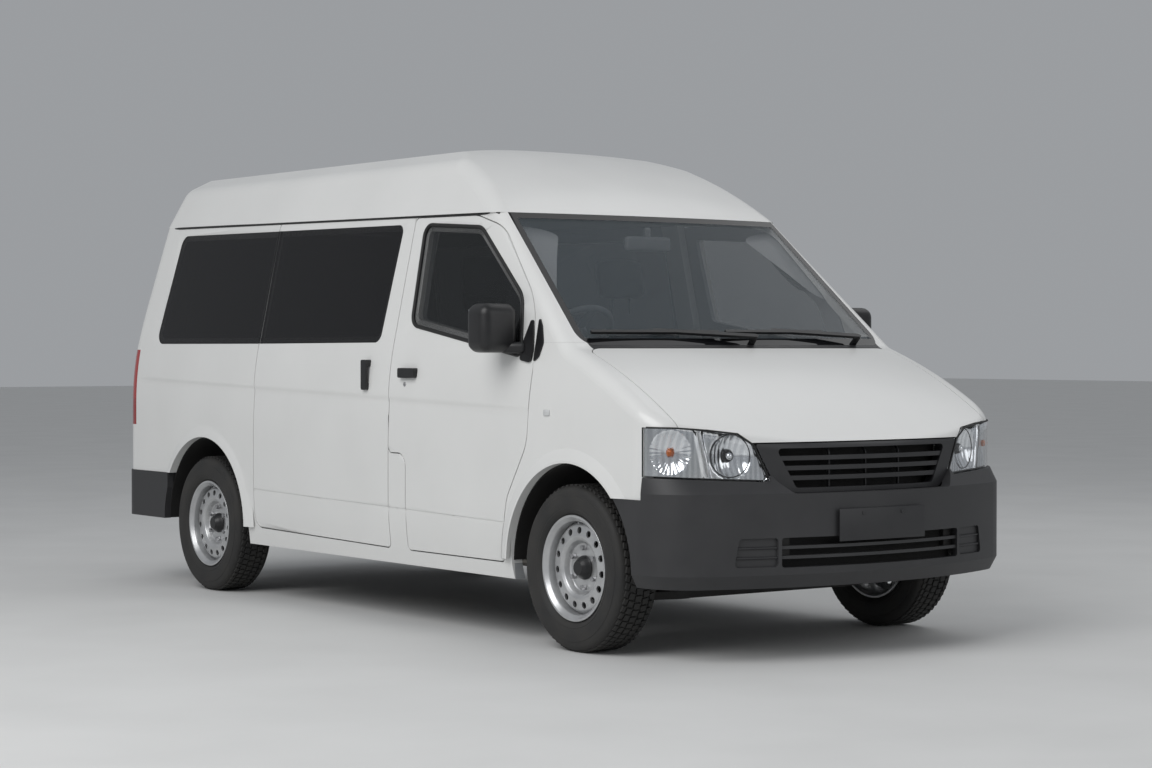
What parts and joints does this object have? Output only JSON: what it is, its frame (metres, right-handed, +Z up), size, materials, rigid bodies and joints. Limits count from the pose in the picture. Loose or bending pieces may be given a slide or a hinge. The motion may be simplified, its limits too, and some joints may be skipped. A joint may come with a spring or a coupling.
{
  "type": "high-roof passenger van",
  "caption": "White high-roof passenger van with a short hood, side windows, sliding side doors, front doors, tailgate and steel wheels that steer and roll.",
  "frame": {"origin": "on the ground under the middle of the van's length and width", "axes": "+Z up, -Y towards the front of the van, +X towards its left side"},
  "size_m": [2.144, 4.7398, 2.08],
  "materials": {
    "white_paint": "gloss",
    "charcoal_plastic": "matte",
    "clear_glass": "clear",
    "dark_glass": "tinted",
    "reflector_chrome": "polished",
    "red_lens": "gloss",
    "liner_black": "matte",
    "chassis_black": "satin",
    "engine_grey": "cast",
    "exhaust_steel": "dull",
    "floor_grey": "matte",
    "dash_plastic": "matte",
    "seat_cloth": "woven",
    "tyre_rubber": "matte",
    "silver_wheel": "satin"
  },
  "bodies": {
    "body": {"body_side_left": "white_paint", "body_side_right": "white_paint", "door_pillars": "white_paint", "front_fenders": "white_paint", "high_roof": "white_paint", "cowl_panel": "charcoal_plastic", "windscreen": "clear_glass", "sliding_doors": "white_paint", "sliding_door_glass": "dark_glass", "sliding_door_handles": "charcoal_plastic", "quarter_glass": "dark_glass", "front_bumper": "charcoal_plastic", "grille": "charcoal_plastic", "headlamp_lenses": "clear_glass", "headlamp_housings": "reflector_chrome", "rear_bumper": "charcoal_plastic", "tail_lamps": "red_lens", "wipers": "charcoal_plastic", "arch_liners": "liner_black", "floor_pan": "floor_grey", "chassis_frame": "chassis_black", "front_suspension": "chassis_black", "rear_axle": "chassis_black", "leaf_springs": "chassis_black", "engine_block": "engine_grey", "driveline": "chassis_black", "fuel_tank": "chassis_black", "exhaust": "exhaust_steel", "radiator": "liner_black", "engine_cover": "floor_grey", "dashboard": "dash_plastic", "front_seats": "seat_cloth", "rear_seats": "seat_cloth"},
    "hood": {"hood": "white_paint"},
    "tailgate": {"tailgate": "white_paint", "tailgate_glass": "dark_glass"},
    "steering_wheel": {"steering_wheel": "dash_plastic"},
    "front_door_left": {"front_door_left": "white_paint", "front_door_glass_left": "clear_glass", "mirror_left": "charcoal_plastic", "door_handle_left": "charcoal_plastic"},
    "knuckle_left": {"knuckle_left": "chassis_black"},
    "wheel_front_left": {"tyre_front_left": "tyre_rubber", "wheel_front_left": "silver_wheel"},
    "wheel_rear_left": {"tyre_rear_left": "tyre_rubber", "wheel_rear_left": "silver_wheel"},
    "front_door_right": {"front_door_right": "white_paint", "front_door_glass_right": "clear_glass", "mirror_right": "charcoal_plastic", "door_handle_right": "charcoal_plastic"},
    "knuckle_right": {"knuckle_right": "chassis_black"},
    "wheel_front_right": {"tyre_front_right": "tyre_rubber", "wheel_front_right": "silver_wheel"},
    "wheel_rear_right": {"tyre_rear_right": "tyre_rubber", "wheel_rear_right": "silver_wheel"}
  },
  "joints": [
    {"name": "front_door_left_hinge", "type": "hinge", "parent": "body", "child": "front_door_left", "pos_m": [0.875, -1.29563, 1.117], "axis": [0.0854, 0, -0.9963], "range_deg": [0, 70]},
    {"name": "front_door_right_hinge", "type": "hinge", "parent": "body", "child": "front_door_right", "pos_m": [-0.875, -1.29563, 1.117], "axis": [0.0854, 0, 0.9963], "range_deg": [0, 70]},
    {"name": "hood_hinge", "type": "hinge", "parent": "body", "child": "hood", "pos_m": [0, -1.6075, 1.177], "axis": [-1, 0, 0], "range_deg": [0, 45]},
    {"name": "tailgate_hinge", "type": "hinge", "parent": "body", "child": "tailgate", "pos_m": [0, 2.236, 1.79514], "axis": [1, 0, 0], "range_deg": [0, 85]},
    {"name": "steer_right", "type": "hinge", "parent": "body", "child": "knuckle_right", "pos_m": [-0.7, -1.555, 0.327], "axis": [0, 0, 1], "range_deg": [-35, 35]},
    {"name": "wheel_front_right_spin", "type": "hinge", "parent": "knuckle_right", "child": "wheel_front_right", "pos_m": [-0.785, -1.555, 0.327], "axis": [1, 0, 0], "continuous": true},
    {"name": "wheel_rear_right_spin", "type": "hinge", "parent": "body", "child": "wheel_rear_right", "pos_m": [-0.785, 1.485, 0.327], "axis": [1, 0, 0], "continuous": true},
    {"name": "steer_left", "type": "hinge", "parent": "body", "child": "knuckle_left", "pos_m": [0.7, -1.555, 0.327], "axis": [0, 0, 1], "range_deg": [-35, 35]},
    {"name": "wheel_front_left_spin", "type": "hinge", "parent": "knuckle_left", "child": "wheel_front_left", "pos_m": [0.785, -1.555, 0.327], "axis": [1, 0, 0], "continuous": true},
    {"name": "wheel_rear_left_spin", "type": "hinge", "parent": "body", "child": "wheel_rear_left", "pos_m": [0.785, 1.485, 0.327], "axis": [1, 0, 0], "continuous": true},
    {"name": "steering_wheel_turn", "type": "hinge", "parent": "body", "child": "steering_wheel", "pos_m": [-0.37, -0.865, 1.24], "axis": [0, 0.6428, 0.766], "range_deg": [-540, 540]}
  ],
  "couplings": [
    {"joint": "steer_left", "follows": "steer_right", "ratio": 1},
    {"joint": "steering_wheel_turn", "follows": "steer_right", "ratio": 15.4}
  ]
}
